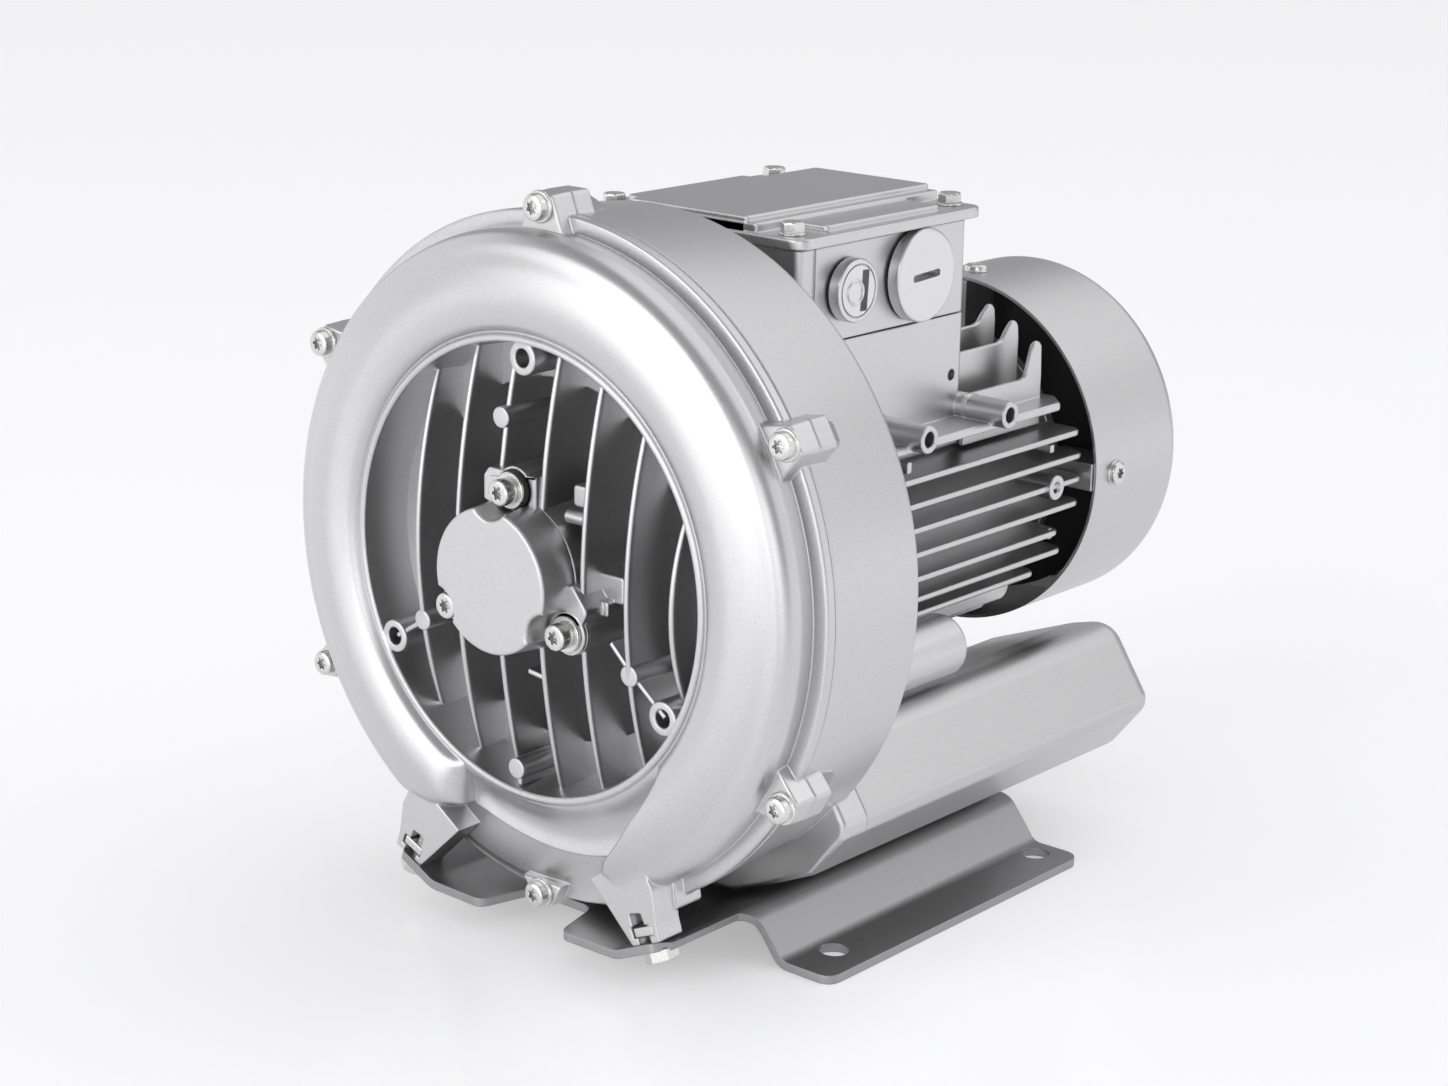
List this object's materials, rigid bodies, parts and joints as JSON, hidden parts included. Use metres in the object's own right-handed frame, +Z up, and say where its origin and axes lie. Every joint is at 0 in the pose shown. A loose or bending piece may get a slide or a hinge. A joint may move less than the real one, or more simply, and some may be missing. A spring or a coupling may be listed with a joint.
{
  "type": "side channel blower",
  "caption": "Single-stage side channel blower: ribbed round casing with hub cap, finned motor with terminal box and fan cowl, twin silencers on a pressed base plate.",
  "frame": {"origin": "centre of the base plate's bolt pattern, on the floor", "axes": "+X right seen from the front, +Y back along the shaft towards the motor, +Z up"},
  "size_m": [0.228, 0.298, 0.2492],
  "materials": {
    "cast_aluminium": "fine satin silver-grey coating over die-cast aluminium",
    "silencer_paint": "fine satin silver-grey coating",
    "sheet_paint": "satin silver-grey paint on sheet",
    "base_paint": "satin grey paint on pressed sheet",
    "zinc_steel": "bright zinc-plated steel",
    "plug_metal": "satin turned metal",
    "bare_aluminium": "bare cast aluminium",
    "ground_steel": "ground steel",
    "bearing_steel": "polished bearing steel",
    "lamination_steel": "stacked laminations",
    "copper_winding": "lacquered copper wire, brass standing in for copper",
    "seal_rubber": "black sealing rubber",
    "fan_plastic": "moulded black plastic",
    "board_plastic": "moulded brown insulating plastic",
    "brass_terminal": "brass",
    "absorber_foam": "open absorber foam, rubber standing in for foam"
  },
  "bodies": {
    "housing": {"front_cover": "cast_aluminium", "rear_housing": "cast_aluminium", "hub_cap": "cast_aluminium", "motor_housing": "cast_aluminium", "rear_end_shield": "cast_aluminium", "terminal_box_frame": "cast_aluminium", "terminal_box_lid": "cast_aluminium", "silencer_right": "silencer_paint", "silencer_left": "silencer_paint", "fan_cowl": "sheet_paint", "base_plate": "base_paint", "cover_screws": "zinc_steel", "hub_screws": "zinc_steel", "hub_washers": "zinc_steel", "lid_screws": "zinc_steel", "lid_washers": "zinc_steel", "cowl_screws": "zinc_steel", "motor_bolts": "zinc_steel", "foot_bolts": "zinc_steel", "foot_nuts": "zinc_steel", "cable_plug_large": "plug_metal", "cable_plug_small": "plug_metal", "front_bearing_outer": "bearing_steel", "rear_bearing_outer": "bearing_steel", "wave_spring": "bearing_steel", "stator_core": "lamination_steel", "stator_windings": "copper_winding", "shaft_seal": "seal_rubber", "casing_seal": "seal_rubber", "lid_gasket": "seal_rubber", "plug_seals": "seal_rubber", "terminal_board": "board_plastic", "terminal_studs": "brass_terminal", "terminal_nuts": "brass_terminal", "terminal_links": "brass_terminal", "absorber_right": "absorber_foam", "absorber_left": "absorber_foam"},
    "rotor": {"shaft": "ground_steel", "impeller": "bare_aluminium", "drive_key": "ground_steel", "impeller_spacer": "ground_steel", "shaft_nut": "zinc_steel", "front_bearing_inner": "bearing_steel", "rear_bearing_inner": "bearing_steel", "rotor_core": "lamination_steel", "cooling_fan": "fan_plastic"}
  },
  "joints": [
    {"name": "rotor_spin", "type": "hinge", "parent": "housing", "child": "rotor", "pos_m": [0, 0.03, 0.128], "axis": [0, 1, 0], "continuous": true}
  ]
}
